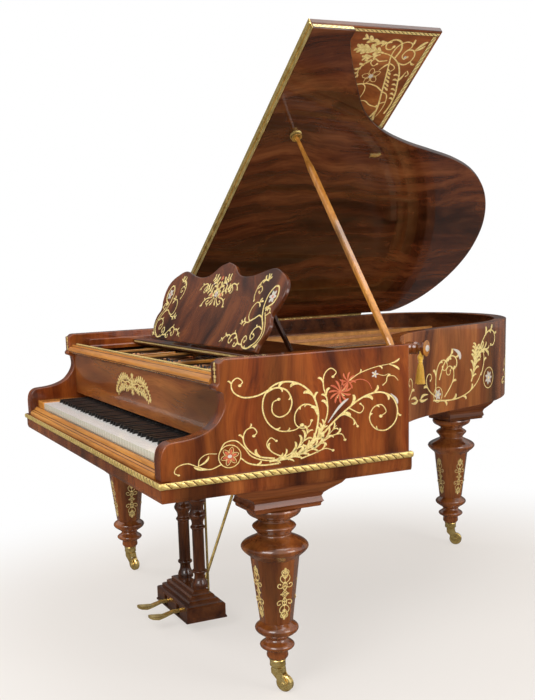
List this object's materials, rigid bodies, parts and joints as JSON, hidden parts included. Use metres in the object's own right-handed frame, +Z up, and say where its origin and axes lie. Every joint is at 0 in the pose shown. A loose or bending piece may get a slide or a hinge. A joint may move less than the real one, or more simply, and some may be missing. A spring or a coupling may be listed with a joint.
{
  "type": "grand piano",
  "caption": "Grand piano with its lid open on a prop, a scrolled music desk, an inlaid case and three turned legs on brass casters.",
  "frame": {"origin": "on the floor under the middle of the whole outline, lid open", "axes": "+X to the treble side, +Y from the keys to the tail, +Z up"},
  "size_m": [1.4562, 1.8154, 1.8328],
  "materials": {
    "rosewood": "polished rosewood veneer with light inlay",
    "dark_wood": "polished dark rosewood",
    "amber_wood": "polished lighter rosewood",
    "brass": "lacquered brass",
    "key_white": "ivory coloured key tops",
    "key_black": "polished black",
    "soundboard": "varnished spruce",
    "iron_plate": "bronzed cast iron",
    "strings": "plain steel wire",
    "bass_strings": "copper wound wire",
    "tassel": "yellow silk"
  },
  "bodies": {
    "case": {"action_frame": "dark_wood", "back_frame": "dark_wood", "base_moulding": "dark_wood", "bass_side": "rosewood", "bentside_rim": "rosewood", "desk_rail_bass": "amber_wood", "desk_rail_treble": "amber_wood", "ferrule_bass": "brass", "ferrule_rear": "brass", "ferrule_treble": "brass", "iron_plate": "iron_plate", "key_block_bass": "amber_wood", "key_block_treble": "amber_wood", "keybed": "dark_wood", "keyslip": "amber_wood", "leg_bass": "rosewood", "leg_block_bass": "rosewood", "leg_block_rear": "rosewood", "leg_block_treble": "rosewood", "leg_rear": "rosewood", "leg_treble": "rosewood", "lyre_brace": "brass", "lyre_post_bass": "dark_wood", "lyre_post_treble": "dark_wood", "pedal_box": "rosewood", "prop_bracket": "brass", "soundboard": "soundboard", "spine_hinge_case_leaf": "brass", "strings_bass": "bass_strings", "strings_treble": "strings", "treble_cheek": "rosewood", "wrest_plank": "dark_wood"},
    "fallboard": {"fallboard": "rosewood", "fallboard_lip": "amber_wood"},
    "lid": {"lid_main": "rosewood", "spine_hinge_lid_leaf": "brass", "flap_hinge_lid_leaf": "brass", "prop_cup": "brass"},
    "lid_flap": {"lid_flap": "rosewood", "flap_hinge_flap_leaf": "brass"},
    "lid_hook": {"lid_hook": "brass"},
    "prop": {"prop_stick": "amber_wood"},
    "desk_tray": {"desk_tray": "dark_wood"},
    "desk_panel": {"desk_panel": "rosewood"},
    "desk_strut_bass": {"desk_strut_bass": "dark_wood"},
    "desk_strut_treble": {"desk_strut_treble": "dark_wood"},
    "white_keys": {"white_keys": "key_white"},
    "black_keys": {"black_keys": "key_black"},
    "pedal_bass": {"pedal_bass": "brass"},
    "pedal_treble": {"pedal_treble": "brass"},
    "pedal_rod_bass": {"pedal_rod_bass": "brass"},
    "pedal_rod_treble": {"pedal_rod_treble": "brass"},
    "caster_fork_bass": {"caster_fork_bass": "brass"},
    "caster_fork_treble": {"caster_fork_treble": "brass"},
    "caster_fork_rear": {"caster_fork_rear": "brass"},
    "caster_wheel_bass": {"caster_wheel_bass": "brass"},
    "caster_wheel_treble": {"caster_wheel_treble": "brass"},
    "caster_wheel_rear": {"caster_wheel_rear": "brass"},
    "lid_peg": {"lid_peg": "dark_wood"},
    "tassel": {"tassel": "tassel"}
  },
  "joints": [
    {"name": "fallboard_hinge", "type": "hinge", "parent": "case", "child": "fallboard", "pos_m": [0.00357, -0.71575, 0.7215], "axis": [1, 0, 0], "range_deg": [0, 90]},
    {"name": "lid_hinge", "type": "hinge", "parent": "case", "child": "lid", "pos_m": [-0.71293, 0, 0.95], "axis": [0, 1, 0], "range_deg": [-8, 0]},
    {"name": "flap_hinge", "type": "hinge", "parent": "lid", "child": "lid_flap", "pos_m": [-0.72234, -0.298, 0.96281], "axis": [-0.8059, 0, -0.592], "range_deg": [-180, 0]},
    {"name": "hook_swing", "type": "hinge", "parent": "lid", "child": "lid_hook", "pos_m": [0.06491, 0.14125, 1.51778], "axis": [-0.592, 0, 0.8059], "range_deg": [-90, 90]},
    {"name": "prop_fold", "type": "hinge", "parent": "case", "child": "prop", "pos_m": [0.68857, -0.20375, 0.937], "axis": [0, 1, 0], "range_deg": [-48.5, 0]},
    {"name": "tray_slide", "type": "slide", "parent": "case", "child": "desk_tray", "axis": [0, 1, 0], "range_m": [-0.15, 0.02]},
    {"name": "desk_tilt", "type": "hinge", "parent": "desk_tray", "child": "desk_panel", "pos_m": [0.00357, -0.48775, 0.9258], "axis": [1, 0, 0], "range_deg": [-55, 0]},
    {"name": "strut_fold_bass", "type": "hinge", "parent": "desk_panel", "child": "desk_strut_bass", "pos_m": [-0.37643, -0.41359, 1.04514], "axis": [1, 0, 0], "range_deg": [0, 124]},
    {"name": "strut_fold_treble", "type": "hinge", "parent": "desk_panel", "child": "desk_strut_treble", "pos_m": [0.38357, -0.41359, 1.04514], "axis": [1, 0, 0], "range_deg": [0, 124]},
    {"name": "white_key_dip", "type": "hinge", "parent": "case", "child": "white_keys", "pos_m": [0.00357, -0.60775, 0.682], "axis": [1, 0, 0], "range_deg": [0, 2.2], "stiffness_Nm_per_rad": 120, "springref_deg": -3.44},
    {"name": "black_key_dip", "type": "hinge", "parent": "case", "child": "black_keys", "pos_m": [0.00357, -0.60775, 0.682], "axis": [1, 0, 0], "range_deg": [0, 2.2], "stiffness_Nm_per_rad": 60, "springref_deg": -3.44},
    {"name": "peg_pull", "type": "slide", "parent": "case", "child": "lid_peg", "axis": [0.866, 0.5, 0], "range_m": [0, 0.02]},
    {"name": "tassel_swing", "type": "hinge", "parent": "lid_peg", "child": "tassel", "pos_m": [0.65755, -0.089, 0.926], "axis": [0.866, 0.5, 0], "range_deg": [-35, 35]},
    {"name": "pedal_press_bass", "type": "hinge", "parent": "case", "child": "pedal_bass", "pos_m": [-0.05143, -0.56775, 0.058], "axis": [1, 0, 0], "range_deg": [0, 7], "stiffness_Nm_per_rad": 12, "springref_deg": -5.16},
    {"name": "rod_lift_bass", "type": "slide", "parent": "case", "child": "pedal_rod_bass", "axis": [0, 0, 1], "range_m": [0, 0.0082]},
    {"name": "pedal_press_treble", "type": "hinge", "parent": "case", "child": "pedal_treble", "pos_m": [0.05857, -0.56775, 0.058], "axis": [1, 0, 0], "range_deg": [0, 7], "stiffness_Nm_per_rad": 12, "springref_deg": -5.16},
    {"name": "rod_lift_treble", "type": "slide", "parent": "case", "child": "pedal_rod_treble", "axis": [0, 0, 1], "range_m": [0, 0.0082]},
    {"name": "caster_swivel_bass", "type": "hinge", "parent": "case", "child": "caster_fork_bass", "pos_m": [-0.62743, -0.54975, 0], "axis": [0, 0, 1], "continuous": true},
    {"name": "caster_spin_bass", "type": "hinge", "parent": "caster_fork_bass", "child": "caster_wheel_bass", "pos_m": [-0.60769, -0.54256, 0.0245], "axis": [-0.342, 0.9397, 0], "continuous": true},
    {"name": "caster_swivel_treble", "type": "hinge", "parent": "case", "child": "caster_fork_treble", "pos_m": [0.63457, -0.54975, 0], "axis": [0, 0, 1], "continuous": true},
    {"name": "caster_spin_treble", "type": "hinge", "parent": "caster_fork_treble", "child": "caster_wheel_treble", "pos_m": [0.65178, -0.5377, 0.0245], "axis": [-0.5736, 0.8192, 0], "continuous": true},
    {"name": "caster_swivel_rear", "type": "hinge", "parent": "case", "child": "caster_fork_rear", "pos_m": [-0.26343, 0.73225, 0], "axis": [0, 0, 1], "continuous": true},
    {"name": "caster_spin_rear", "type": "hinge", "parent": "caster_fork_rear", "child": "caster_wheel_rear", "pos_m": [-0.24993, 0.74834, 0.0245], "axis": [-0.766, 0.6428, 0], "continuous": true}
  ],
  "couplings": [
    {"joint": "strut_fold_bass", "follows": "desk_tilt", "ratio": -2.25},
    {"joint": "strut_fold_treble", "follows": "desk_tilt", "ratio": -2.25},
    {"joint": "rod_lift_bass", "follows": "pedal_press_bass", "m_per_rad": 0.0645},
    {"joint": "rod_lift_treble", "follows": "pedal_press_treble", "m_per_rad": 0.0645}
  ]
}
